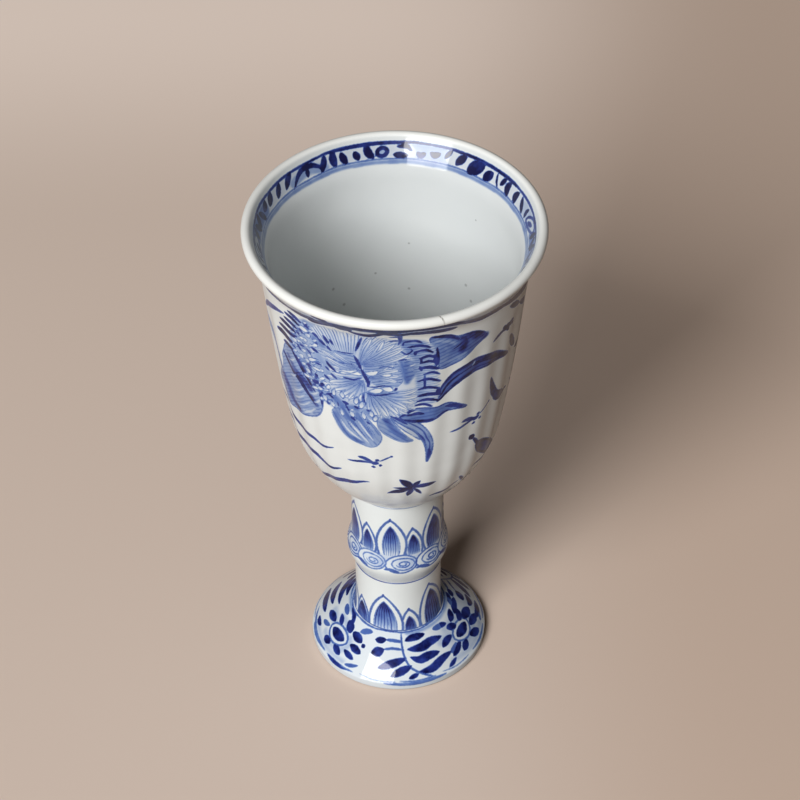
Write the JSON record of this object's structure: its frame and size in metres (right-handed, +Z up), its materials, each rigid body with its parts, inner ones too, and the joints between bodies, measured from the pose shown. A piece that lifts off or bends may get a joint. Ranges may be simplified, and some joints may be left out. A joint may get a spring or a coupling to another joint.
{
  "type": "stem cup",
  "caption": "Blue-and-white porcelain stem cup: a ribbed bell-shaped bowl with a flared lip, on a hollow stem with a knop and a domed foot.",
  "frame": {"origin": "centre of the plane that the foot ring stands on", "axes": "+Z up along the cup's axis; -Y is the side with the large painted flower"},
  "size_m": [0.08, 0.08, 0.1519],
  "materials": {
    "glazed_porcelain": "clear gloss glaze over cobalt painting on white porcelain",
    "luting_slip": "fired slip, matt white"
  },
  "bodies": {
    "root": {"bowl": "glazed_porcelain", "bowl_luting": "luting_slip", "upper_stem": "glazed_porcelain", "stem_luting": "luting_slip", "lower_stem": "glazed_porcelain", "foot_luting": "luting_slip", "foot": "glazed_porcelain"}
  },
  "joints": []
}
